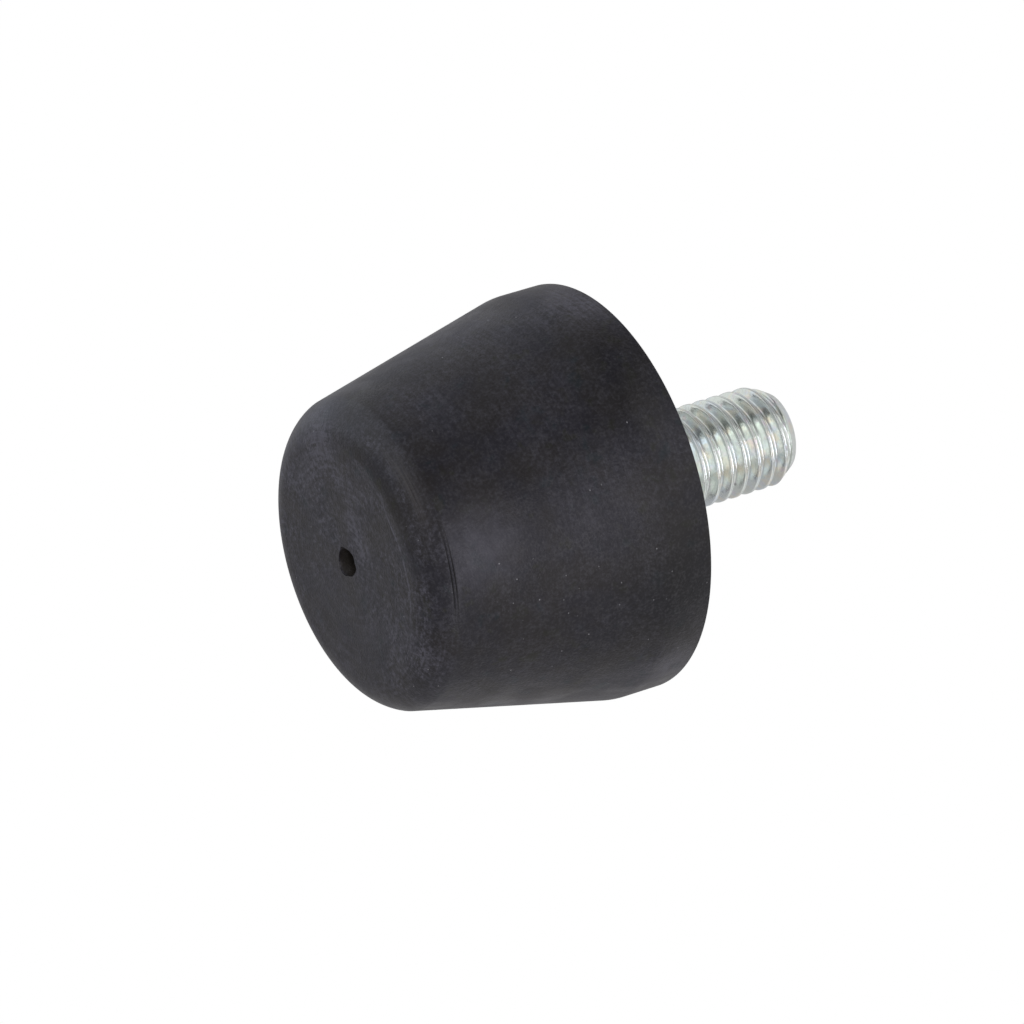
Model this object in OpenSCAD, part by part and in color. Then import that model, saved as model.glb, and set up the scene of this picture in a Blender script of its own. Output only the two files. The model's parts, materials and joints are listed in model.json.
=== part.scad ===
// Tapered rubber foot for small equipment, moulded onto a steel disc that holds a threaded stud.
// Every piece is round about the Z axis. The origin is the middle of the foot face, the narrow
// end that stands on the bench, and the stud points straight up. Sizes are in millimetres.

/* [Rubber body] */
// Diameter of the wide end, which bears on the equipment
body_d = 32; // [29:0.5:40]
// Height from the foot face to the wide end
body_h = 22.2; // [18:0.1:30]
// Height of the straight band at the wide end
band_h = 3.6; // [2.5:0.1:6]
// Slope of the tapered side, in degrees from the axis
side_slope = 12.75; // [5:0.25:16]
// Radius that blends the band into the tapered side
knee_r = 4; // [1:0.5:8]
// Height of the crease round the nose, where the two halves of the mould meet
crease_h = 2.1; // [1:0.1:2.8]
// Radius of the rounded nose between the crease and the flat foot face
nose_r = 3.3; // [3.1:0.1:6]

/* [Gate hole] */
// Diameter of the blind hole that the moulding leaves in the middle of the foot face
gate_d = 2.4; // [1:0.1:4]
// Depth of the blind hole
gate_depth = 5; // [2:0.5:8]

/* [Base disc] */
// Diameter of the steel disc bonded flush into the wide end
disc_d = 28; // [20:0.5:28.5]
// Thickness of the disc
disc_t = 2; // [1.5:0.1:3]

/* [Stud] */
// Diameter over the crests of the thread
thread_d = 8; // [6.5:0.1:8.5]
// Distance from one crest of the thread to the next
thread_pitch = 1.25; // [1.1:0.05:1.75]
// Depth of the thread below its crests
thread_depth = 0.7; // [0.3:0.05:0.8]
// Width of the flat along each crest
crest_w = 0.2; // [0.1:0.05:0.4]
// Least plain length of the stud between the disc and the first groove
plain_length = 1.3; // [0.5:0.1:3]
// How far the stud stands out of the wide end
stud_out = 16.5; // [8:0.5:40]
// Length of the chamfer that leads the thread in
tip_chamfer = 1.4; // [0.6:0.1:2.5]
// Diameter of the flat end inside the chamfer
tip_d = 6.3; // [4:0.1:6.4]
// Diameter of the plain shank pressed into the disc
shank_d = 9; // [8.6:0.1:11]
// Diameter of the head that locks the stud behind the disc
head_d = 13; // [12:0.5:18]
// Thickness of the head
head_t = 2.4; // [1.5:0.1:4]
// Bevel round the buried edge of the head
head_bevel = 0.5; // [0.2:0.1:1]

/* [Hidden] */
$fn = 72;

rubber_colour = [0.19, 0.185, 0.20];
zinc_colour = [0.75, 0.78, 0.77];

body_r = body_d / 2;
// Level of the sharp corner that the knee radius replaces
knee_z = body_h - band_h;
// The knee's arc leaves the band and the tapered side at this distance from the corner
knee_reach = knee_r * tan(side_slope / 2);
knee_centre = [body_r - knee_r, knee_z + knee_reach];
// Radius of the tapered side where it meets the crease
crease_r = body_r - (knee_z - crease_h) * tan(side_slope);
// The nose arc is tangent to the foot face and passes through the crease
nose_reach = sqrt(nose_r * nose_r - pow(nose_r - crease_h, 2));
nose_centre = [crease_r - nose_reach, nose_r];
nose_end_angle = -asin((nose_r - crease_h) / nose_r);

disc_z = body_h - disc_t;
head_z = disc_z - head_t;
stud_top = body_h + stud_out;
chamfer_z = stud_top - tip_chamfer;

thread_r = thread_d / 2;
root_r = thread_r - thread_depth;
// The flanks of a metric thread lean 30 degrees from square to the axis
flank_h = thread_depth * tan(30);
groove_h = thread_pitch - crest_w;
groove_count = floor((stud_out - tip_chamfer - plain_length) / thread_pitch);

// Points of a round stretch of a section, as finely spaced as $fn divides a full circle.
// Angles are counted from the radial direction, towards the stud.
function arc(centre, r, from, to) =
    let (steps = ceil(abs(to - from) * $fn / 360))
    [for (i = [0:steps]) let (a = from + (to - from) * i / steps) centre + r * [cos(a), sin(a)]];

// Half section of the rubber's outside: foot face, nose, crease, taper, knee and band
module outside_section() {
    polygon(concat(
        [[0, 0]],
        arc(nose_centre, nose_r, -90, nose_end_angle),
        arc(knee_centre, knee_r, -side_slope, 0),
        [[body_r, body_h], [0, body_h]]
    ));
}

// Half section of the steel disc, open in the middle for the shank
module disc_section() {
    translate([shank_d / 2, disc_z]) square([(disc_d - shank_d) / 2, disc_t]);
}

// Half section of one groove of the thread, from its lower crest to its upper one
function groove(z) = [
    [thread_r, z],
    [root_r, z + flank_h],
    [root_r, z + groove_h - flank_h],
    [thread_r, z + groove_h]
];

// Half section of the stud: buried head, shank through the disc, thread and chamfered end.
// The thread is a stack of rings with the true pitch and flanks, so its crests stay a round wall
// that a sleeve or a tapped hole can be measured against.
module stud_section() {
    polygon(concat(
        [[0, head_z],
         [head_d / 2 - head_bevel, head_z],
         [head_d / 2, head_z + head_bevel],
         [head_d / 2, disc_z],
         [shank_d / 2, disc_z],
         [shank_d / 2, body_h],
         [thread_r, body_h]],
        [for (turn = [groove_count:-1:1]) each groove(chamfer_z - turn * thread_pitch)],
        [[thread_r, chamfer_z],
         [tip_d / 2, stud_top],
         [0, stud_top]]
    ));
}

// Half section of the blind hole in the foot face
module gate_section() {
    square([gate_d / 2, gate_depth]);
}

// The rubber is moulded round the steel, so its pocket is the disc's and the stud's own section
module rubber_body() {
    color(rubber_colour) rotate_extrude() difference() {
        outside_section();
        disc_section();
        stud_section();
        gate_section();
    }
}

module base_disc() {
    color(zinc_colour) rotate_extrude() disc_section();
}

module threaded_stud() {
    color(zinc_colour) rotate_extrude() stud_section();
}

rubber_body();
base_disc();
threaded_stud();
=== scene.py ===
# %% [markdown]
# # A tapered rubber foot on a threaded stud
#
# The foot is a black rubber body moulded onto a steel disc, and a zinc plated stud stands out of
# the disc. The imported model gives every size, and this script gives the three pieces their finish.
# It begins by loading that model as a fixed frame, in metres, with the foot face at height zero.

# %% Load the frame
import json
import math

import bmesh
import bpy
from mathutils import Matrix, Vector, noise


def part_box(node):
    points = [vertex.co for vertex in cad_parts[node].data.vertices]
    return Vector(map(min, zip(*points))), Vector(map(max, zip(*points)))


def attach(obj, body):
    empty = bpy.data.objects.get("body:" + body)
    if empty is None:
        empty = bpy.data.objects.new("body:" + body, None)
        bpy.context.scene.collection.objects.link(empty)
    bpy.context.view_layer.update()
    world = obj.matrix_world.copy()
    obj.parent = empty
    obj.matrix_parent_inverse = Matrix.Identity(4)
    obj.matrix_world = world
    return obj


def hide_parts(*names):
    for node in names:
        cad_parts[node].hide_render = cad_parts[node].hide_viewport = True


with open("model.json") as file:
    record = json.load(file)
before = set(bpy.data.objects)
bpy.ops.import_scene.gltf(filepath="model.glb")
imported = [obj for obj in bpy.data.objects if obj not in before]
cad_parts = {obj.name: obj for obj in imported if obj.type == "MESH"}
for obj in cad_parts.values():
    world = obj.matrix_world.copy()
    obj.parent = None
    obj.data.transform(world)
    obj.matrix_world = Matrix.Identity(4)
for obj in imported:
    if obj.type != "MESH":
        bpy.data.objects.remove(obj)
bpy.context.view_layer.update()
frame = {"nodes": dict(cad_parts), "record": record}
print("nodes", sorted(frame["nodes"]))

# %% [markdown]
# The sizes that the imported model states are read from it, and not typed again. A node's box gives
# its radius and its levels, and the stud's mount gives the thread's radius and its full length.

# %% Read the main sizes
MM = 0.001
body_r, body_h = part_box("rubber_body")[1].x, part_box("rubber_body")[1].z
disc_r, disc_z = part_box("base_disc")[1].x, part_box("base_disc")[0].z
head_r, head_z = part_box("threaded_stud")[1].x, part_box("threaded_stud")[0].z
stud_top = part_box("threaded_stud")[1].z
stud_mount = next(m for m in frame["record"]["mounts"] if m["name"] == "stud")
crest_r = stud_mount["dims"]["r_mm"] * MM
full_thread = stud_mount["dims"]["length_mm"] * MM
print("rubber radius %.1f mm, height %.1f mm" % (body_r / MM, body_h / MM))
print("thread radius %.2f mm, top of the stud at %.1f mm" % (crest_r / MM, stud_top / MM))

# %% [markdown]
# The photograph is taken from in front of the nose, so the camera looks up at the foot face. It is
# rolled until the stud points to the right. A long lens far away keeps the ellipses nearly even.
# The last small turn puts the middle of the wide end on its own place in the picture.

# %% Place the camera
camera_elevation = math.radians(-29.02)
camera_roll = math.radians(73.05)
camera_distance = 37.6 * body_r
picture_side = 1024
lens_in_pixels = 7862
sensor_width = 36.0
wide_end_pixel = (595.0, 486.3)


def camera_turn(elevation, roll, pixel):
    """Direction to a camera south of the foot, and its turn that puts the wide end on a pixel."""
    back = Vector((0, -math.cos(elevation), math.sin(elevation)))
    right = Vector((1, 0, 0))
    level = Matrix((right, back.cross(right), back)).transposed()
    middle = picture_side / 2
    sight = Vector((pixel[0] - middle, middle - pixel[1], -lens_in_pixels))
    nudge = sight.rotation_difference(Vector((0, 0, -1))).to_matrix()
    return back, level @ Matrix.Rotation(roll, 3, "Z") @ nudge


camera = bpy.data.objects.new("camera", bpy.data.cameras.new("camera"))
bpy.context.scene.collection.objects.link(camera)
bpy.context.scene.camera = camera
camera.data.sensor_width = sensor_width
camera.data.lens = lens_in_pixels / picture_side * sensor_width
to_camera, turn = camera_turn(camera_elevation, camera_roll, wide_end_pixel)
stand = Vector((0, 0, body_h)) + to_camera * camera_distance
camera.matrix_world = Matrix.Translation(stand) @ turn.to_4x4()
print("lens %.0f mm at %.2f m" % (camera.data.lens, camera_distance))

# %% [markdown]
# All three pieces are round, so each starts as half of its section, drawn in the plane of X and Z.
# A small pen does this: a straight stretch extrudes the last vertex, and a round stretch spins it
# about the centre of its arc. The finished line is then spun once round the axis.

# %% Make the pen
def start_section(r, z):
    """A new mesh with the first point of a half section."""
    section = bmesh.new()
    return section, section.verts.new((r, 0, z))


def line_to(section, last, r, z):
    """Extrudes the last vertex to a radius and a height."""
    new = bmesh.ops.extrude_vert_indiv(section, verts=[last])["verts"][0]
    bmesh.ops.translate(section, vec=Vector((r, 0, z)) - new.co, verts=[new])
    return new


def arc_to(section, last, centre_r, centre_z, degrees, steps):
    """Spins the last vertex about a centre. Positive degrees bulge outwards, negative inwards."""
    ends = bmesh.ops.spin(
        section, geom=[last], cent=(centre_r, 0, centre_z), axis=(0, -1, 0),
        angle=math.radians(degrees), steps=steps, use_duplicate=False,
    )
    return ends["geom_last"][0]


def turn_section(section, steps):
    """Spins a half section once round the Z axis and closes its seam and its poles."""
    bmesh.ops.spin(
        section, geom=section.verts[:] + section.edges[:], cent=(0, 0, 0), axis=(0, 0, 1),
        angle=2 * math.pi, steps=steps, use_merge=True, use_duplicate=False,
    )
    bmesh.ops.remove_doubles(section, verts=section.verts, dist=0.0005 * MM)
    bmesh.ops.recalc_face_normals(section, faces=section.faces)


def finish_piece(section, name, node, sharp_degrees):
    """Turns a bmesh into a shaded object that rides on the foot and stands for its CAD node."""
    mesh = bpy.data.meshes.new(name)
    section.to_mesh(mesh)
    section.free()
    mesh.shade_smooth()
    mesh.set_sharp_from_angle(angle=math.radians(sharp_degrees))
    piece = bpy.data.objects.new(name, mesh)
    bpy.context.scene.collection.objects.link(piece)
    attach(piece, "root")
    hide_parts(node)
    print(name, len(mesh.polygons), "faces")
    return piece


print("pen ready")

# %% [markdown]
# The rubber's outside runs from the blind gate hole across the flat foot face and up the rounded
# nose to the crease, where the two halves of the mould met. There the slope jumps, and the mould
# left a fine double line. The straight taper, a soft knee and the band follow.

# %% Work out the rubber's outline
side_slope = math.radians(12.75)
band_h = 3.6 * MM
knee_r = 4 * MM
crease_z = 2.1 * MM
nose_r = 3.3 * MM
gate_r = 1.2 * MM
gate_depth = 5 * MM
head_bevel = 0.5 * MM
shank_r = 4.5 * MM

knee_z = body_h - band_h + knee_r * math.tan(side_slope / 2)
crease_r = body_r - (body_h - band_h - crease_z) * math.tan(side_slope)
nose_rise = math.asin((nose_r - crease_z) / nose_r)
nose_centre_r = crease_r - nose_r * math.cos(nose_rise)
print("foot face %.1f mm across" % (2 * nose_centre_r / MM))
print("crease %.1f mm across" % (2 * crease_r / MM))

# %% [markdown]
# The double line is two shallow grooves, a quarter of a millimetre apart, just below the crease
# and on it. They are part of the section, so they catch the light in the mesh itself. The sharp
# edges of a real foot are never perfectly sharp, so the rim gets a tiny round.

# %% Model the rubber body
groove_w = 0.06 * MM
groove_deep = 0.045 * MM
groove_gap = 0.24 * MM
rim_round = 0.12 * MM
rubber_steps = 288
groove_levels = (crease_z - groove_gap, crease_z)


def nose_point(z):
    """Radius of the rounded nose at a height below the crease."""
    return nose_centre_r + math.sqrt(nose_r**2 - (nose_r - z)**2)


def side_point(z):
    """Radius of the tapered side at a height above the crease."""
    return crease_r + (z - crease_z) * math.tan(side_slope)


def groove(section, last, z):
    """A fine V groove whose middle lies at a height."""
    low, high = z - groove_w, z + groove_w
    last = line_to(section, last, nose_point(low), low)
    last = line_to(section, last, nose_point(z) - groove_deep, z)
    return line_to(section, last, side_point(high) if high > crease_z else nose_point(high), high)


def outside_of_rubber(section, last):
    """Draws the foot face, nose, crease, taper, knee and band, and returns the last point."""
    for share in (0.1, 0.25, 0.5, 0.75, 1.0):
        last = line_to(section, last, gate_r + (nose_centre_r - gate_r) * share, 0)
    nose_stop = groove_levels[0] - 2 * groove_w
    nose_span = math.degrees(math.acos((nose_r - nose_stop) / nose_r))
    last = arc_to(section, last, nose_centre_r, nose_r, nose_span, 24)
    for z in groove_levels:
        last = groove(section, last, z)
    for share in (0.02, 0.06, 0.15, 0.35, 0.6, 0.8):
        z = crease_z + (body_h - band_h - crease_z) * share
        last = line_to(section, last, side_point(z), z)
    knee_start = body_r - knee_r + knee_r * math.cos(side_slope)
    last = line_to(section, last, knee_start, knee_z - knee_r * math.sin(side_slope))
    last = arc_to(section, last, body_r - knee_r, knee_z, math.degrees(side_slope), 8)
    last = line_to(section, last, body_r, body_h - rim_round)
    return arc_to(section, last, body_r - rim_round, body_h - rim_round, 90, 4)


rubber, point = start_section(0, gate_depth)
point = line_to(rubber, point, gate_r, gate_depth)
for share in (0.7, 0.45, 0.3, 0.2, 0.14, 0.09, 0.05, 0.02, 0):
    point = line_to(rubber, point, gate_r, gate_depth * share)
point = outside_of_rubber(rubber, point)
for r, z in (
    (disc_r + rim_round, body_h), (disc_r, body_h - rim_round), (disc_r, disc_z), (head_r, disc_z),
    (head_r, head_z + head_bevel), (head_r - head_bevel, head_z), (0, head_z),
):
    point = line_to(rubber, point, r, z)
turn_section(rubber, rubber_steps)
print("rubber", len(rubber.verts), "points")

# %% [markdown]
# The two halves of a mould never close evenly, so the double line is clear on one stretch only
# and fades out on either side. The points at the bottom of the grooves are moved back to the
# surface there, by a share that grows with the angle from the clearest place.

# %% Fade the double line
line_clear_at = math.radians(-74)
line_clear_span = math.radians(14)
line_least = 0.08


def fade_lines(section):
    """Fills the grooves up away from the stretch where the mould closed worst."""
    for vert in section.verts:
        r = math.hypot(vert.co.x, vert.co.y)
        level = min(groove_levels, key=lambda z: abs(z - vert.co.z))
        if r < nose_centre_r or abs(vert.co.z - level) > groove_w / 4:
            continue
        turned = math.atan2(vert.co.y, vert.co.x) - line_clear_at
        turned = math.atan2(math.sin(turned), math.cos(turned)) / line_clear_span
        kept = line_least + (1 - line_least) * math.exp(-turned * turned)
        vert.co.xy *= 1 + groove_deep * (1 - kept) / r


fade_lines(rubber)
print("double line clearest at %.0f degrees" % math.degrees(line_clear_at))

# %% [markdown]
# The gate hole is where the rubber was torn off its runner, so its rim is uneven. Noise round the
# hole moves the rim in and out, most at the foot face and less with depth.

# %% Tear the gate hole's rim
tear = 0.32 * MM
tear_depth = 1.4 * MM
tear_spacing = 0.9 * MM
tear_lean = Vector((0.11, 0.17, 0)) * MM


def tear_rim(section):
    """Moves the points of the gate hole in and out with noise that fades with depth."""
    for vert in section.verts:
        r = math.hypot(vert.co.x, vert.co.y)
        if r < gate_r / 2 or r > gate_r * 1.05 or vert.co.z > tear_depth:
            continue
        fade = 1 - vert.co.z / tear_depth
        vert.co.xy *= 1 + noise.noise(vert.co / tear_spacing) * tear * fade / r
        vert.co += tear_lean * fade


tear_rim(rubber)
rubber_piece = finish_piece(rubber, "moulded_rubber", "rubber_body", sharp_degrees=32)

# %% [markdown]
# The disc is a plain ring of steel, flush with the rubber's lip. Its edges are broken by a fine
# bevel, so that a hairline shows where steel and rubber meet.

# %% Model the steel disc
disc_bevel = 0.12 * MM
disc_steps = 192

disc, point = start_section(shank_r, disc_z)
for r, z in (
    (disc_r, disc_z), (disc_r, body_h - disc_bevel), (disc_r - disc_bevel, body_h),
    (shank_r + disc_bevel, body_h), (shank_r, body_h - disc_bevel), (shank_r, disc_z),
):
    point = line_to(disc, point, r, z)
turn_section(disc, disc_steps)
disc_piece = finish_piece(disc, "bonded_disc", "base_disc", sharp_degrees=32)

# %% [markdown]
# A rolled thread is one ridge wound round the stud. Its section is drawn for a single pitch: a
# round root, straight flanks at sixty degrees and a flat crest with two lips and the dip that
# rolling leaves between them. The flanks meet the root's arc at a tangent. The crest is listed as
# shares of its half width, each with its drop below the full radius.

# %% Draw one pitch of the thread
pitch = 1.25 * MM
flank = math.radians(30)
crest_w = 0.30 * MM
root_round = 0.20 * MM
lip_round = 0.03 * MM
crest_dip = 0.035 * MM
flank_run = (pitch - crest_w) / 2 - root_round * math.cos(flank)
thread_depth = flank_run / math.tan(flank) + root_round * (1 - math.sin(flank)) + lip_round
root_r = crest_r - thread_depth
crest_shape = (
    (1.0, lip_round), (0.8, 0.3 * lip_round), (0.6, 0), (0.35, 0.3 * crest_dip), (0.15, crest_dip),
)


def thread_section(start_z):
    """One pitch of the thread from root to root, starting at a height."""
    section, last = start_section(root_r, start_z)
    last = arc_to(section, last, root_r + root_round, start_z, -60, 4)
    crest_z = start_z + pitch / 2
    foot_r, foot_z = last.co.x, crest_z - last.co.z
    flank_points = [(foot_z + (crest_w / 2 - foot_z) * s, foot_r + (crest_r - lip_round - foot_r) * s)
                    for s in (0.25, 0.5, 0.75)]
    rise = flank_points + [(share * crest_w / 2, crest_r - drop) for share, drop in crest_shape]
    for dz, r in rise:
        last = line_to(section, last, r, crest_z - dz)
    for dz, r in reversed(rise):
        last = line_to(section, last, r, crest_z + dz)
    last = line_to(section, last, foot_r, crest_z + foot_z)
    arc_to(section, last, root_r + root_round, start_z + pitch, -60, 4)
    return section


crest_at_zero = 0.27 * MM
first_root = body_h + crest_at_zero - pitch / 2 - 2 * pitch
stud = thread_section(first_root)
print("thread section", len(stud.verts), "points, depth %.3f mm" % (thread_depth / MM))

# %% [markdown]
# A spin that climbs one pitch in a full turn winds the section once round the stud. Copies of that
# turn, each a pitch higher, make the rest. This is much quicker than one long spin.

# %% Wind the thread
thread_steps = 120
turns = math.ceil((stud_top - first_root) / pitch) + 1


def wind(section, count):
    """Spins one climbing turn of the thread, then stacks copies of it a pitch apart."""
    bmesh.ops.spin(
        section, geom=section.verts[:] + section.edges[:], cent=(0, 0, 0), axis=(0, 0, 1),
        angle=2 * math.pi, steps=thread_steps, dvec=(0, 0, pitch / thread_steps), use_duplicate=False,
    )
    first_turn = section.verts[:] + section.edges[:] + section.faces[:]
    for step in range(1, count):
        copy = bmesh.ops.duplicate(section, geom=first_turn)["geom"]
        verts = [v for v in copy if isinstance(v, bmesh.types.BMVert)]
        bmesh.ops.translate(section, vec=(0, 0, pitch * step), verts=verts)
    bmesh.ops.remove_doubles(section, verts=section.verts, dist=0.001 * MM)


wind(stud, turns)
print("thread", turns, "turns,", len(stud.verts), "points")

# %% [markdown]
# The wound ridge is cut off level at the disc and at the tip. Near the disc the groove runs out
# into the plain shank. At the tip no point may lie outside the chamfer's cone.

# %% Fit the thread to its blank
tip_r = 3.15 * MM
runout = 1.3 * MM


def cut_level(section, z, keep_above):
    """Cuts the mesh off at a height."""
    bmesh.ops.bisect_plane(
        section, geom=section.verts[:] + section.edges[:] + section.faces[:],
        plane_co=(0, 0, z), plane_no=(0, 0, 1), clear_inner=keep_above, clear_outer=not keep_above,
    )


def fit_to_blank(section):
    """Fades the groove out near the disc and holds the tip inside its chamfer."""
    chamfer_z = body_h + full_thread
    for vert in section.verts:
        r = math.hypot(vert.co.x, vert.co.y)
        rise = min(1, max(0, (vert.co.z - body_h) / runout))
        depth = (crest_r - r) * rise * rise * (3 - 2 * rise)
        share = min(1, max(0, (vert.co.z - chamfer_z) / (stud_top - chamfer_z)))
        limit = crest_r + (tip_r - crest_r) * share
        vert.co.xy *= min(crest_r - depth, limit) / r


cut_level(stud, body_h, True)
cut_level(stud, stud_top, False)
fit_to_blank(stud)
print("thread cut to %.1f mm" % ((stud_top - body_h) / MM))

# %% [markdown]
# The open ends are closed by extruding their edge loops. Below the disc's face the shank and the
# head follow, which the rubber hides. The tip ends in a slightly hollow face, as a cropped rod has.

# %% Close the stud
def open_loop(section, z):
    """The open edges at a height."""
    return [e for e in section.edges if e.is_boundary and all(abs(v.co.z - z) < 1e-7 for v in e.verts)]


def extend(section, edges, grow, rise):
    """Extrudes an edge loop, scales it about the axis and moves it along the axis."""
    made = bmesh.ops.extrude_edge_only(section, edges=edges)["geom"]
    verts = [v for v in made if isinstance(v, bmesh.types.BMVert)]
    bmesh.ops.scale(section, vec=(grow, grow, 1), verts=verts)
    bmesh.ops.translate(section, vec=(0, 0, rise), verts=verts)
    return [e for e in made if isinstance(e, bmesh.types.BMEdge)]


def close_with(section, z, r, steps):
    """Extends the open loop at a height through steps of radius and rise, then shuts it."""
    edges = open_loop(section, z)
    for new_r, rise in steps:
        edges = extend(section, edges, new_r / r, rise)
        r = new_r
    verts = list({v for e in edges for v in e.verts})
    bmesh.ops.pointmerge(section, verts=verts, merge_co=(0, 0, verts[0].co.z))


close_with(stud, stud_top, tip_r, (
    (tip_r - 0.1 * MM, 0), (2.2 * MM, -0.05 * MM), (1.6 * MM, -0.12 * MM), (0.2 * MM, -0.02 * MM),
))
close_with(stud, body_h, crest_r, (
    (shank_r, 0), (shank_r, disc_z - body_h), (head_r, 0), (head_r, head_z + head_bevel - disc_z),
    (head_r - head_bevel, -head_bevel), (0.5 * MM, 0),
))
bmesh.ops.recalc_face_normals(stud, faces=stud.faces)
stud_piece = finish_piece(stud, "plated_stud", "threaded_stud", sharp_degrees=50)

# %% [markdown]
# Every finish below is a tree of nodes. One helper adds a node, sets it and wires it up, so that
# a tree reads like a short list: what the node is, what feeds it and how it is set.

# %% Make the node helpers
def add_node(tree, kind, inputs=None, **settings):
    """Adds a node. An input's value is a number, a colour or the socket that feeds it."""
    node = tree.nodes.new("ShaderNode" + kind)
    for name, value in settings.items():
        setattr(node, name, value)
    for name, value in (inputs or {}).items():
        if isinstance(value, bpy.types.NodeSocket):
            tree.links.new(value, node.inputs[name])
        else:
            node.inputs[name].default_value = value
    return node


def combine(tree, operation, first, second=0.0, third=0.0, clamp=False):
    """A Math node's result."""
    node = add_node(tree, "Math", {0: first, 1: second, 2: third}, operation=operation, use_clamp=clamp)
    return node.outputs[0]


def ramp(tree, value, low, high, to_low=0.0, to_high=1.0):
    """A value mapped smoothly from one range to another."""
    return add_node(tree, "MapRange", {
        "Value": value, "From Min": low, "From Max": high, "To Min": to_low, "To Max": to_high,
    }, interpolation_type="SMOOTHSTEP").outputs["Result"]


def blend(tree, mask, first, second):
    """Two colours mixed by a mask."""
    return add_node(tree, "Mix", {0: mask, 6: first, 7: second}, data_type="RGBA").outputs[2]


print("node helpers ready")

# %% [markdown]
# Effects that finishes share are node groups. Soft patches are clouds of bloom, dust, stain or
# film. Grain is the fine unevenness of a surface. Specks are the lint, one in a few cells of a
# grid. Each takes the place on the piece and a spacing in metres.

# %% Make the shared effects
def new_effect(name, values, result):
    """An empty node group with a Place input, named value inputs and one result."""
    tree = bpy.data.node_groups.new(name, "ShaderNodeTree")
    tree.interface.new_socket("Place", in_out="INPUT", socket_type="NodeSocketVector")
    for value_name, value in values.items():
        socket = tree.interface.new_socket(value_name, in_out="INPUT", socket_type="NodeSocketFloat")
        socket.default_value = value
    tree.interface.new_socket(result, in_out="OUTPUT", socket_type="NodeSocketFloat")
    start = tree.nodes.new("NodeGroupInput")
    end = tree.nodes.new("NodeGroupOutput")
    scale = combine(tree, "DIVIDE", 1.0, start.outputs["Spacing"])
    return tree, start.outputs, end.inputs[result], scale


noise_low, noise_high = 0.28, 0.72


def make_patches():
    """Clouds: Cover is the share of the surface that they take, and Edge is how soft they end."""
    tree, given, result, scale = new_effect("soft_patches", {
        "Spacing": 4 * MM, "Cover": 0.5, "Edge": 0.15, "Detail": 4.0, "Rough": 0.55,
    }, "Mask")
    cloud = add_node(tree, "TexNoise", {
        "Vector": given["Place"], "Scale": scale, "Detail": given["Detail"], "Roughness": given["Rough"],
    })
    drop = combine(tree, "MULTIPLY", given["Cover"], noise_high - noise_low)
    middle = combine(tree, "SUBTRACT", noise_high, drop)
    low = combine(tree, "SUBTRACT", middle, given["Edge"])
    high = combine(tree, "ADD", middle, given["Edge"])
    tree.links.new(ramp(tree, cloud.outputs["Fac"], low, high), result)
    return tree


def make_specks():
    """Dots of uneven strength: Size is their radius and Share is how many cells have one."""
    tree, given, result, scale = new_effect("specks", {
        "Spacing": 2 * MM, "Size": 0.07 * MM, "Share": 0.3,
    }, "Mask")
    cells = add_node(tree, "TexVoronoi", {
        "Vector": given["Place"], "Scale": scale,
    }, voronoi_dimensions="2D")
    reach = combine(tree, "MULTIPLY", given["Size"], scale)
    dot = ramp(tree, cells.outputs["Distance"], combine(tree, "MULTIPLY", reach, 0.5), reach, 1.0, 0.0)
    draw = add_node(tree, "SeparateColor", {"Color": cells.outputs["Color"]})
    chosen = combine(tree, "LESS_THAN", draw.outputs["Red"], given["Share"])
    strength = combine(tree, "MULTIPLY_ADD", draw.outputs["Green"], 0.85, 0.15)
    dot = combine(tree, "MULTIPLY", dot, combine(tree, "MULTIPLY", chosen, strength))
    tree.links.new(dot, result)
    return tree


def make_grain():
    """Fine unevenness, with a little of a coarser one under it."""
    tree, given, result, scale = new_effect("grain", {"Spacing": 0.2 * MM, "Coarse": 0.3}, "Height")
    fine = add_node(tree, "TexNoise", {"Vector": given["Place"], "Scale": scale, "Detail": 2.0})
    slow = combine(tree, "MULTIPLY", scale, 0.2)
    broad = add_node(tree, "TexNoise", {"Vector": given["Place"], "Scale": slow, "Detail": 1.0})
    height = combine(tree, "MULTIPLY_ADD", broad.outputs["Fac"], given["Coarse"], fine.outputs["Fac"])
    tree.links.new(height, result)
    return tree


patches_effect, specks_effect, grain_effect = make_patches(), make_specks(), make_grain()
print("effects", patches_effect.name, specks_effect.name, grain_effect.name)

# %% [markdown]
# A finish is a material with one Principled shader. The colour, roughness and metal that are the
# same all over sit on the shader's own sockets. What changes over the surface is wired to them.

# %% Make the finish helpers
def new_finish(name, **sockets):
    """A material's tree, its shader and its object coordinates."""
    material = bpy.data.materials.new(name)
    material.use_nodes = True
    tree = material.node_tree
    tree.nodes.clear()
    shader = add_node(tree, "BsdfPrincipled")
    for socket, value in sockets.items():
        shader.inputs[socket.replace("_", " ")].default_value = value
    add_node(tree, "OutputMaterial", {"Surface": shader.outputs["BSDF"]})
    return material, tree, shader, add_node(tree, "TexCoord").outputs["Object"]


def effect(tree, group, place, **values):
    """A shared effect placed in a finish. A value is a number or the socket that feeds it."""
    return add_node(tree, "Group", {"Place": place, **values}, node_tree=group).outputs[0]


def tint(tree, place, colour, new_colour, strength, **values):
    """Lays soft patches of another colour over a colour."""
    mask = combine(tree, "MULTIPLY", effect(tree, patches_effect, place, **values), strength)
    return blend(tree, mask, colour, new_colour)


def near(tree, place, spot, reach, strength):
    """A soft round mask about a spot, given in millimetres."""
    away = add_node(tree, "VectorMath", {0: place, 1: Vector(spot) * MM}, operation="DISTANCE")
    return ramp(tree, away.outputs["Value"], 0.0, reach * MM, strength, 0.0)


def add_bump(tree, shader, height, distance, below=None):
    """Adds a Bump of a true depth in metres, over one that is there already."""
    node = add_node(tree, "Bump", {"Height": height, "Distance": distance})
    if below is not None:
        tree.links.new(below, node.inputs["Normal"])
    tree.links.new(node.outputs["Normal"], shader.inputs["Normal"])
    return node.outputs["Normal"]


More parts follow.
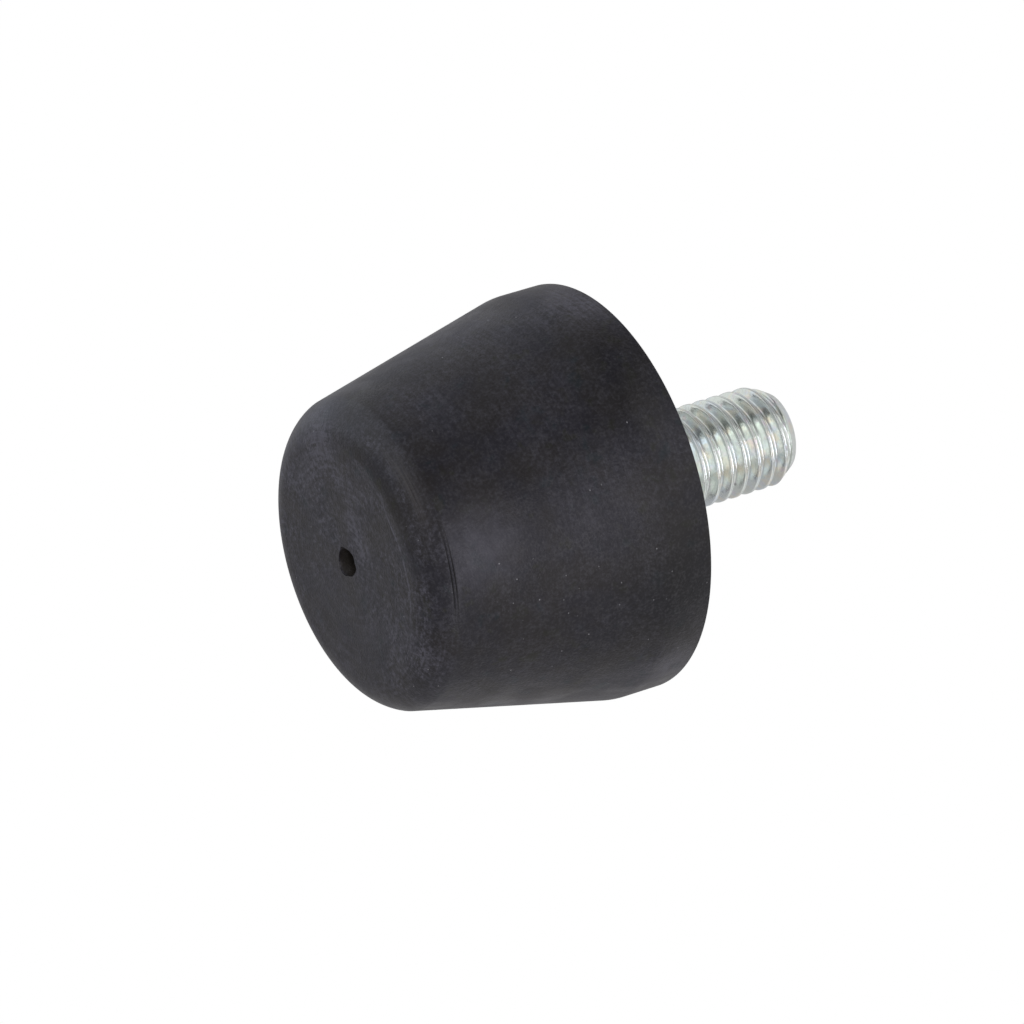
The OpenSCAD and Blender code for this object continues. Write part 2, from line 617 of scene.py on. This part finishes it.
def round_parts(tree, place):
    """What a place is on a round piece: its direction from the axis, its radius and its height."""
    flat = add_node(tree, "VectorMath", {0: place, 1: (1, 1, 0)}, operation="MULTIPLY").outputs[0]
    facing = add_node(tree, "VectorMath", {0: flat}, operation="NORMALIZE").outputs[0]
    radius = add_node(tree, "VectorMath", {0: flat}, operation="LENGTH").outputs["Value"]
    return facing, radius, add_node(tree, "SeparateXYZ", {0: place}).outputs["Z"]


def turned_marks(tree, parts, around, along):
    """Coordinates for marks that run round the axis, long around it and fine across."""
    facing, radius, height = parts
    profile = combine(tree, "MULTIPLY", combine(tree, "ADD", radius, height), along)
    across = add_node(tree, "CombineXYZ", {"Z": profile}).outputs[0]
    long_way = add_node(tree, "VectorMath", {0: facing, "Scale": around}, operation="SCALE").outputs[0]
    return add_node(tree, "VectorMath", {0: long_way, 1: across}, operation="ADD").outputs[0]


def unrolled(tree, parts, skin_r):
    """Flat coordinates of a round piece's side, rolled out at one radius. The seam is at the back."""
    facing, radius, height = parts
    ways = add_node(tree, "SeparateXYZ", {0: facing}).outputs
    angle = combine(tree, "ARCTAN2", ways["X"], combine(tree, "MULTIPLY", ways["Y"], -1.0))
    return add_node(tree, "CombineXYZ", {
        "X": combine(tree, "MULTIPLY", angle, skin_r), "Y": combine(tree, "ADD", radius, height),
    }).outputs[0]


print("finish helpers ready")

# %% [markdown]
# Moulded rubber is almost black underneath, and most of what the eye sees is its satin gloss. A
# brown grey and a violet grey cloud into each other, as the bloom on real rubber does, with small
# olive and teal stains among them. Three places on the side are painted darker, as painted shade. A
# fine speckle and a bump nearly as fine break the gloss up.

# %% Finish the rubber's ground colour and grain
rubber_brown = (0.0130, 0.0108, 0.0108, 1)
rubber_violet = (0.0105, 0.0098, 0.0155, 1)
rubber_olive = (0.0130, 0.0132, 0.0070, 1)
rubber_teal = (0.0055, 0.0125, 0.0165, 1)
rubber_shade = (0.003, 0.003, 0.004, 1)
rubber_speckle = (0.0480, 0.0465, 0.0510, 1)
speckle_strength = 0.58
# Painted shade: three places on the side are blended towards the deep shade colour.
painted_shade_spots = (
    ((9.5, -12.9, 20.0), 9.0, 0.85),
    ((11.0, -9.9, 13.3), 6.5, 0.32),
    ((-7.2, -14.3, 19.0), 6.5, 0.42),
)

rubber_finish, tree, shader, place = new_finish("black_rubber", Specular_IOR_Level=0.41)
parts = round_parts(tree, place)
radius, height = parts[1:]
colour = tint(tree, place, rubber_brown, rubber_violet, 1.0, Spacing=4.5 * MM, Cover=0.5, Edge=0.10)
colour = tint(tree, place, colour, rubber_olive, 0.8, Spacing=1.5 * MM, Cover=0.20, Edge=0.04)
colour = tint(tree, place, colour, rubber_teal, 0.8, Spacing=2.3 * MM, Cover=0.18, Edge=0.04)
# painted shade on three places of the side
for spot in painted_shade_spots:
    colour = blend(tree, near(tree, place, *spot), colour, rubber_shade)
grain = effect(tree, grain_effect, place, Spacing=0.22 * MM, Coarse=0.35)
speckle = combine(tree, "MULTIPLY", ramp(tree, grain, 0.58, 0.98), speckle_strength)
colour = blend(tree, speckle, colour, rubber_speckle)
fine = effect(tree, grain_effect, place, Spacing=0.17 * MM, Coarse=0.8)
add_bump(tree, shader, fine, 0.027 * MM)
print("rubber ground ready,", len(painted_shade_spots), "deep spots")

# %% [markdown]
# Two masks give dust its texture. The mould's face was turned, and its rings show in the dust, so
# one mask is noise drawn out round the axis. The other is a fine powder, which comes in small
# clouds but is even and thin on the calmer lower side of the foot face.

# %% Make the powder and the rings
ring_breaks = 2.6
ring_spacing = 0.24 * MM
calm_side = ((5.0, 3.0, 0.0), 9.5, 0.75)
calm_level = 0.38

marks = turned_marks(tree, parts, ring_breaks, 1 / ring_spacing)
rings = add_node(tree, "TexNoise", {"Vector": marks, "Scale": 1.0, "Detail": 3.0, "Roughness": 0.6})
rings = ramp(tree, rings.outputs["Fac"], 0.40, 0.66)
mottle = effect(tree, patches_effect, place, Spacing=0.9 * MM, Cover=0.5, Edge=0.16)
dusty = effect(tree, patches_effect, place, Spacing=3.2 * MM, Cover=0.5, Edge=0.16)
powder = effect(tree, patches_effect, place, Spacing=0.42 * MM, Cover=0.42, Edge=0.16, Rough=0.8)
to_calm = combine(tree, "SUBTRACT", calm_level, powder)
powder = combine(tree, "MULTIPLY_ADD", near(tree, place, *calm_side), to_calm, powder)
print("rings about %.2f mm apart" % (ring_spacing / MM))

# %% [markdown]
# The foot face carries most of the dust, with brighter smudges by the hole. A ring just outside
# its edge on the side that shows, and a small notch of the face with it, are kept free of dust as
# painted shade. The nose holds half as much dust, and the taper less still apart from pale smudges,
# partly bloom and partly painted sheen. Above the knee one side of the band is wiped clean.

# %% Lay the dust
rubber_dust_and_highlight = (0.094, 0.092, 0.113, 1)
# The smudges on the taper and the band are partly bloom and partly painted sheen. Those on the foot face
# are dust.
smudges_and_sheen = (
    ((-2.6, -2.4, 0.0), 1.8, 0.70),
    ((-0.6, -2.9, 0.0), 1.7, 0.75),
    ((-4.7, -3.6, 0.0), 2.0, 0.42),
    ((-6.2, -2.4, 0.0), 1.5, 0.45),
    ((-9.3, -0.8, 0.1), 3.8, 0.75),
    ((-7.6, 3.2, 0.0), 3.4, 0.45),
    ((6.5, -3.6, 0.0), 2.4, 0.25),
    ((8.0, -6.4, 0.2), 2.4, 0.35),
    ((9.2, -7.0, 0.9), 2.2, 0.28),
    ((-14.4, -7.0, 21.6), 4.5, 0.50),
    ((-13.8, -8.0, 18.2), 5.0, 0.20),
    ((-13.4, -5.8, 12.5), 7.0, 0.34),
    ((-10.1, -8.2, 5.4), 5.0, 0.28),
    ((-7.7, -12.4, 12.3), 6.0, 0.14),
    ((-15.3, -4.6, 20.6), 4.0, 0.24),
    ((-13.1, -9.1, 20.4), 4.2, 0.44),
    ((-1.3, -15.9, 21.4), 3.0, 0.22),
    ((14.7, -6.2, 20.2), 4.0, 0.42),
    ((-0.6, -15.4, 16.2), 5.0, 0.13),
    ((0.1, -14.7, 13.2), 4.5, 0.13),
)
# Painted shade: a ring just outside the foot face's edge and a small notch of the face lose their dust.
shade_ring_side = ((-5.2, -8.6, 0.2), 9.5, 1.25)
shade_ring_in, shade_ring_out = (9.1 * MM, 9.5 * MM), (10.2 * MM, 11.1 * MM)
shade_notch = ((-7.7, -5.2, 0.0), 1.3, 0.65)
band_side = ((8.0, -13.8, 19.8), 9.0, 1.3)


def clear_dust(tree, dust_and_sheen, mask):
    """Takes the share of the dust away that a mask gives."""
    return combine(tree, "MULTIPLY", dust_and_sheen, combine(tree, "SUBTRACT", 1.0, mask))


on_nose = ramp(tree, height, 1.2 * MM, 2.6 * MM, 1.0, 0.42)
settled = combine(tree, "MULTIPLY", on_nose, ramp(tree, height, 0.1 * MM, 0.9 * MM, 1.75, 0.9))
dust_and_sheen = combine(tree, "MULTIPLY", settled, combine(tree, "MULTIPLY_ADD", dusty, 0.42, 0.20))
dust_and_sheen = combine(tree, "MULTIPLY", dust_and_sheen, combine(tree, "MULTIPLY_ADD", powder, 0.8, 0.12))
# painted shade: the ring beyond the face's edge loses its dust
shade_ring = combine(tree, "MULTIPLY", ramp(tree, radius, *shade_ring_in), ramp(tree, radius, *shade_ring_out, 1.0, 0.0))
shade_ring = combine(tree, "MULTIPLY", near(tree, place, *shade_ring_side), shade_ring, clamp=True)
dust_and_sheen = clear_dust(tree, dust_and_sheen, shade_ring)
# adds the smudges, where those on the taper and band are partly painted sheen
for smudge_and_sheen_spot in smudges_and_sheen:
    dust_and_sheen = combine(tree, "ADD", dust_and_sheen, near(tree, place, *smudge_and_sheen_spot))
above_knee = ramp(tree, height, knee_z - 0.9 * MM, knee_z - 0.3 * MM)
clean_band = combine(tree, "MULTIPLY", near(tree, place, *band_side), above_knee, clamp=True)
dust_and_sheen = clear_dust(tree, dust_and_sheen, clean_band)
# painted shade: the notch of the face loses its dust
dust_and_sheen = clear_dust(tree, dust_and_sheen, near(tree, place, *shade_notch))
texture = combine(tree, "MULTIPLY_ADD", rings, 0.6, combine(tree, "ADD", powder, 0.12))
dust_and_sheen = combine(tree, "MULTIPLY", dust_and_sheen, texture)
print(len(smudges_and_sheen), "smudges_and_sheen")

# %% [markdown]
# Use rubs the edge of the foot face to a fine pale line that wanders a little. Along the nose runs
# one pale brown streak, partly a scuff with fine lines in it and partly a painted highlight. Both run
# round the axis, so each is a stripe about a radius that shows on one side only.

# %% Rub the edge and paint a scuff and highlight on the nose
rubber_scuff_and_highlight = (0.066, 0.060, 0.058, 1)
rubbed_side = ((1.0, -9.2, 0.0), 8.0, 1.9)
rubbed_r, rubbed_wander, rubbed_w = 8.9 * MM, 0.9 * MM, 0.16 * MM
# The nose streak is partly a scuff and partly a painted highlight.
scuff_highlight_side = ((-3.9, -10.8, 1.1), 6.0, 0.75)
scuff_highlight_r, scuff_highlight_w = 11.55 * MM, 0.75 * MM


def stripe(tree, value, middle, core, edge, strength=1.0):
    """A mask about the middle of a value: full strength in the core, and nothing past the edge."""
    away = combine(tree, "ABSOLUTE", combine(tree, "SUBTRACT", value, middle))
    return ramp(tree, away, core, edge, strength, 0.0)


wander = effect(tree, patches_effect, place, Spacing=6 * MM, Cover=0.5, Edge=0.25, Detail=1.0)
line_at = combine(tree, "MULTIPLY_ADD", wander, rubbed_wander, rubbed_r - rubbed_wander / 2)
line = stripe(tree, radius, line_at, 0.0, rubbed_w)
rubbed = combine(tree, "MULTIPLY", line, near(tree, place, *rubbed_side))
dust_and_sheen = combine(tree, "MULTIPLY_ADD", combine(tree, "MULTIPLY", rubbed, mottle), 1.1, dust_and_sheen, clamp=True)
colour = blend(tree, dust_and_sheen, colour, rubber_dust_and_highlight)
# painted highlight along the nose, with the scuff's fine lines in it
line = stripe(tree, radius, scuff_highlight_r, 0.0, scuff_highlight_w)
scuff_and_highlight = combine(tree, "MULTIPLY", line, near(tree, place, *scuff_highlight_side))
scuff_and_highlight = combine(tree, "MULTIPLY", scuff_and_highlight, combine(tree, "MULTIPLY_ADD", rings, 0.7, 0.3), clamp=True)
colour = blend(tree, scuff_and_highlight, colour, rubber_scuff_and_highlight)
print("edge rubbed %.1f mm out, nose scuffed %.2f mm out" % (rubbed_r / MM, scuff_highlight_r / MM))

# %% [markdown]
# Above the crease one patch of the side is painted paler, a painted highlight that ends sharply at
# the crease, where the other half of the mould began. Torn rubber inside the gate hole is rough,
# brown and dusty. On the stretch that shows, the double line gets painted shade, as grooves too
# fine to catch light look dark.

# %% Add the painted highlight patch, the torn wall and the shaded grooves
rubber_torn = (0.040, 0.033, 0.026, 1)
# Painted highlight: the patch just above the crease is painted paler with the dust colour.
painted_highlight_patch = ((1.9, -12.9, 4.4), 4.8, 0.42)
shaded_stretch = ((3.4, -11.8, 2.0), 5.6, 1.3)

# painted highlight above the crease
above_crease = ramp(tree, height, crease_z - 0.05 * MM, crease_z + 0.10 * MM)
highlight_patch = combine(tree, "MULTIPLY", near(tree, place, *painted_highlight_patch), above_crease)
highlight_patch = combine(tree, "MULTIPLY", highlight_patch, combine(tree, "MULTIPLY_ADD", mottle, 0.5, 0.75), clamp=True)
colour = blend(tree, highlight_patch, colour, rubber_dust_and_highlight)
in_hole = combine(tree, "LESS_THAN", radius, 1.5 * gate_r)
in_hole = combine(tree, "MULTIPLY", in_hole, ramp(tree, height, 0.03 * MM, 0.20 * MM))
torn = combine(tree, "MULTIPLY", in_hole, combine(tree, "MULTIPLY_ADD", mottle, 0.8, 0.2))
colour = blend(tree, torn, colour, rubber_torn)
for level in groove_levels:
    grooved = stripe(tree, height, level, 0.3 * groove_w, 1.3 * groove_w, 0.8)
    grooved = combine(tree, "MULTIPLY", grooved, near(tree, place, *shaded_stretch), clamp=True)
    colour = blend(tree, grooved, colour, rubber_shade)
print("pale patch, torn wall and grooves ready")

# %% [markdown]
# Lint clings to rubber as sparse pale specks. They sit mostly on the side that lay on the bench.
# The specks are drawn on the unrolled side, and square on over the foot face.

# %% Add the lint
rubber_lint = (0.30, 0.30, 0.31, 1)
lint_patch = ((8.0, -12.0, 12.0), 11.0, 0.44)

side_skin = unrolled(tree, parts, 0.85 * body_r)
flat_part = combine(tree, "LESS_THAN", height, 0.2 * MM)
skin = add_node(tree, "Mix", {0: flat_part, 4: side_skin, 5: place}, data_type="VECTOR")
share = combine(tree, "ADD", near(tree, place, *lint_patch), 0.05)
lint = effect(tree, specks_effect, skin.outputs[1], Spacing=1.7 * MM, Size=0.075 * MM, Share=share)
colour = blend(tree, lint, colour, rubber_lint)
tree.links.new(colour, shader.inputs["Base Color"])
worn = effect(tree, patches_effect, place, Spacing=2.8 * MM, Cover=0.5, Edge=0.2)
rough = combine(tree, "MULTIPLY_ADD", dust_and_sheen, 0.12, ramp(tree, worn, 0.0, 1.0, 0.36, 0.46))
tree.links.new(rough, shader.inputs["Roughness"])
rubber_piece.data.materials.append(rubber_finish)
print("rubber finished")

# %% [markdown]
# Zinc plate with a clear passivation is bright, and its film shifts between pale green, blue,
# straw and pink as its thickness changes. A few pits hold dirt, as soft dark spots. Turning leaves
# fine rings under the plate: noise drawn out round the axis and, on the chamfer, a wave as long as
# the tool's feed. A rolled thread was never cut, so the rings are nearly gone there.

# %% Finish the zinc of the stud and the disc
zinc_green = (0.85, 0.905, 0.855, 1)
zinc_blue = (0.82, 0.885, 0.915, 1)
zinc_straw = (0.91, 0.89, 0.79, 1)
zinc_pink = (0.89, 0.83, 0.86, 1)
zinc_dull = (0.68, 0.725, 0.695, 1)
zinc_dirt = (0.06, 0.06, 0.05, 1)
tool_feed = 0.34 * MM
turning_breaks = 1.2
turning_spacing = 0.24 * MM
rolled_share = 0.12


def finish_zinc(name, film_spacing, dull_share, pits, ring_depth, ring_from):
    """Zinc plate whose film shifts its colour, with fine turned rings above a height."""
    material, tree, shader, place = new_finish(name, Metallic=1.0)
    parts = round_parts(tree, place)
    height = parts[2]
    colour = tint(tree, place, zinc_green, zinc_blue, 1.0, Spacing=film_spacing, Cover=0.42, Edge=0.10)
    colour = tint(tree, place, colour, zinc_straw, 0.9, Spacing=film_spacing * 0.7, Cover=0.35, Edge=0.06)
    colour = tint(tree, place, colour, zinc_pink, 0.8, Spacing=film_spacing * 0.5, Cover=0.22, Edge=0.05)
    grain = effect(tree, grain_effect, place, Spacing=0.26 * MM, Coarse=0.6)
    dull = combine(tree, "MULTIPLY", ramp(tree, grain, 0.70, 1.15), dull_share)
    colour = blend(tree, dull, colour, zinc_dull)
    for pit in pits:
        colour = blend(tree, near(tree, place, *pit), colour, zinc_dirt)
    tree.links.new(colour, shader.inputs["Base Color"])
    tree.links.new(ramp(tree, grain, 0.6, 1.1, 0.17, 0.28), shader.inputs["Roughness"])
    grained = add_bump(tree, shader, grain, 0.007 * MM)
    marks = turned_marks(tree, parts, turning_breaks, 1 / turning_spacing)
    rings = add_node(tree, "TexNoise", {"Vector": marks, "Scale": 1.0, "Detail": 2.0}).outputs["Fac"]
    turned = combine(tree, "SINE", combine(tree, "MULTIPLY", height, 2 * math.pi / tool_feed))
    rings = combine(tree, "MULTIPLY_ADD", turned, 0.5, rings)
    cut_share = ramp(tree, height, ring_from, ring_from + 0.3 * MM, rolled_share, 1.0)
    add_bump(tree, shader, combine(tree, "MULTIPLY", rings, cut_share), ring_depth, below=grained)
    print(name, "finished")
    return material


stud_pits = (((2.89, -1.61, 33.25), 0.30, 1.0), ((3.21, -1.41, 32.10), 0.20, 0.8))
stud_finish = finish_zinc(
    "bright_zinc", film_spacing=1.7 * MM, dull_share=0.5, pits=stud_pits,
    ring_depth=0.020 * MM, ring_from=body_h + full_thread,
)
disc_finish = finish_zinc(
    "satin_zinc", film_spacing=4.0 * MM, dull_share=0.8, pits=(),
    ring_depth=0.012 * MM, ring_from=disc_z,
)
stud_piece.data.materials.append(stud_finish)
disc_piece.data.materials.append(disc_finish)

# %% [markdown]
# The floor is a pale disc just under the foot. The photograph looks up from below it, so its
# underside lets the camera through, and it neither shades nor lights the foot.

# %% Lay the floor
floor_r = 1.5
floor_gap = 0.02 * MM

floor_shape = bmesh.new()
bmesh.ops.create_circle(floor_shape, cap_ends=True, radius=floor_r, segments=96)
bmesh.ops.translate(floor_shape, vec=(0, 0, -floor_gap), verts=floor_shape.verts)
floor_mesh = bpy.data.meshes.new("floor")
floor_shape.to_mesh(floor_mesh)
floor_shape.free()
floor = bpy.data.objects.new("floor", floor_mesh)
bpy.context.scene.collection.objects.link(floor)
floor.visible_shadow = False
floor.visible_diffuse = False
floor.visible_glossy = False
print("floor %.1f m across" % (2 * floor_r))

# %% [markdown]
# The floor is matt, with faint clouds and a fine tooth, and glows a little so that it stays white.
# It has two shaders, and Backfacing picks the clear one where the camera sees its underside.

# %% Finish the floor
floor_dim = (0.80, 0.80, 0.80, 1)
floor_pale = (0.84, 0.84, 0.84, 1)

floor_finish, tree, shader, place = new_finish(
    "pale_floor", Roughness=0.7, Emission_Color=(1, 1, 1, 1), Emission_Strength=0.30)
clouds = effect(tree, patches_effect, place, Spacing=60 * MM, Cover=0.5, Edge=0.3)
tree.links.new(blend(tree, clouds, floor_dim, floor_pale), shader.inputs["Base Color"])
add_bump(tree, shader, effect(tree, grain_effect, place, Spacing=0.8 * MM, Coarse=0.5), 0.02 * MM)
clear = add_node(tree, "BsdfTransparent")
under = add_node(tree, "NewGeometry").outputs["Backfacing"]
either = add_node(tree, "MixShader", {0: under, 1: shader.outputs["BSDF"], 2: clear.outputs["BSDF"]})
for node in tree.nodes:
    if node.type == "OUTPUT_MATERIAL":
        tree.links.new(either.outputs[0], node.inputs["Surface"])
floor_mesh.materials.append(floor_finish)
print("floor finished")

# %% [markdown]
# The room is white where the camera sees it. What the foot feels is an even grey, brighter behind
# it and to the right, as if a white wall stood there, with a dark flag above that keeps the top of
# the side deep. The Standard view transform keeps the white a true white.

# %% Light the room
room_level = 0.42
wall_extra = 0.18
wall_aim = (0.66, -0.20, -0.72)
wall_edge = (0.10, 0.95)
room_tint = (1.0, 0.985, 1.01, 1)
flag_aim = (0.40, 0.87, 0.29)
flag_side = (-0.94, 0.34, 0.02)
flag_drop = 0.33
flag_long = (0.62, 0.86)
flag_wide = (0.11, 0.22)


def cosine_to(tree, outward, way):
    """Cosine of the angle between a direction and a way that is given as the camera sees it."""
    aim = (turn @ Vector(way)).normalized()
    return add_node(tree, "VectorMath", {0: outward, 1: aim}, operation="DOT_PRODUCT").outputs["Value"]


world = bpy.data.worlds.new("room")
bpy.context.scene.world = world
bpy.context.scene.view_settings.view_transform = "Standard"
world.use_nodes = True
tree = world.node_tree
tree.nodes.clear()
outward = add_node(tree, "TexCoord").outputs["Generated"]
to_wall, along, aside = (cosine_to(tree, outward, way) for way in (wall_aim, flag_aim, flag_side))
level = ramp(tree, to_wall, *wall_edge, room_level, room_level + wall_extra)
aside = combine(tree, "ABSOLUTE", aside)
flagged = ramp(tree, along, *flag_long, 0.0, flag_drop)
flagged = combine(tree, "MULTIPLY", flagged, ramp(tree, aside, *flag_wide, 1.0, 0.0))
level = combine(tree, "SUBTRACT", level, flagged)
felt = add_node(tree, "Background", {"Color": room_tint, "Strength": level})
seen = add_node(tree, "Background", {"Color": (1, 1, 1, 1), "Strength": 1.0})
by_camera = add_node(tree, "LightPath").outputs["Is Camera Ray"]
either = add_node(tree, "MixShader", {0: by_camera, 1: felt.outputs[0], 2: seen.outputs[0]})
add_node(tree, "OutputWorld", {"Surface": either.outputs[0]})
print("room level", room_level)

# %% [markdown]
# Six softboxes do the rest, each placed as the camera sees it and sized by the angle it fills. A
# tall narrow key stands to the right and a little low, a wide rim to the left and up, and a tall
# side light at the far right, which the middle of the stud mirrors. Black rubber and bright zinc
# ask for different light from the same side. So light linking keeps the rim off the stud, and
# gives the stud a weaker one, a strip whose upper edge draws a sharp line along it, and a soft
# fill from below. A row ends with what its light falls on, where None is everything.

# %% Set up the softboxes
all_but_stud = (rubber_piece, disc_piece, floor)
only_stud = (stud_piece,)
softboxes = (
    ("key", (0.38, -0.42, 0.82), -8, (6, 34), 0.40, 3.00, (1.0, 0.97, 1.06), None),
    ("rim", (-0.77, 0.63, -0.07), -76, (50, 30), 0.45, 0.58, (0.90, 0.97, 1.12), all_but_stud),
    ("side", (0.875, 0.14, 0.463), 16, (11, 41), 0.40, 0.62, (1.0, 0.99, 1.0), None),
    ("stud_rim", (-0.77, 0.63, -0.07), -76, (50, 30), 0.45, 0.34, (0.97, 1.0, 0.98), only_stud),
    ("stud_top", (0.64, 0.62, 0.44), 40, (14, 7), 0.40, 0.42, (1.0, 1.0, 0.99), only_stud),
    ("stud_low", (0.58, -0.69, -0.40), 45, (23, 23), 0.40, 0.23, (0.98, 1.0, 1.0), only_stud),
)


def softbox(name, aim, roll, half_angles, distance, radiance, hue, receivers):
    """A rectangular area light that fills two half angles as the foot sees it."""
    lamp = bpy.data.lights.new(name, "AREA")
    lamp.shape = "RECTANGLE"
    lamp.size, lamp.size_y = (2 * distance * math.tan(math.radians(a)) for a in half_angles)
    lamp.energy = math.pi * lamp.size * lamp.size_y * radiance
    lamp.color = hue
    away = (turn @ Vector(aim)).normalized()
    up = turn @ Vector((-math.sin(math.radians(roll)), math.cos(math.radians(roll)), 0))
    across = up.cross(away).normalized()
    facing = Matrix((across, away.cross(across), away)).transposed()
    box = bpy.data.objects.new(name, lamp)
    box.matrix_world = Matrix.Translation(Vector((0, 0, body_h / 2)) + away * distance) @ facing.to_4x4()
    bpy.context.scene.collection.objects.link(box)
    if receivers is not None:
        lit = bpy.data.collections.new(name + "_receivers")
        for piece in receivers:
            lit.objects.link(piece)
        box.light_linking.receiver_collection = lit
    print(name, "%.2f x %.2f m" % (lamp.size, lamp.size_y))


for settings in softboxes:
    softbox(*settings)
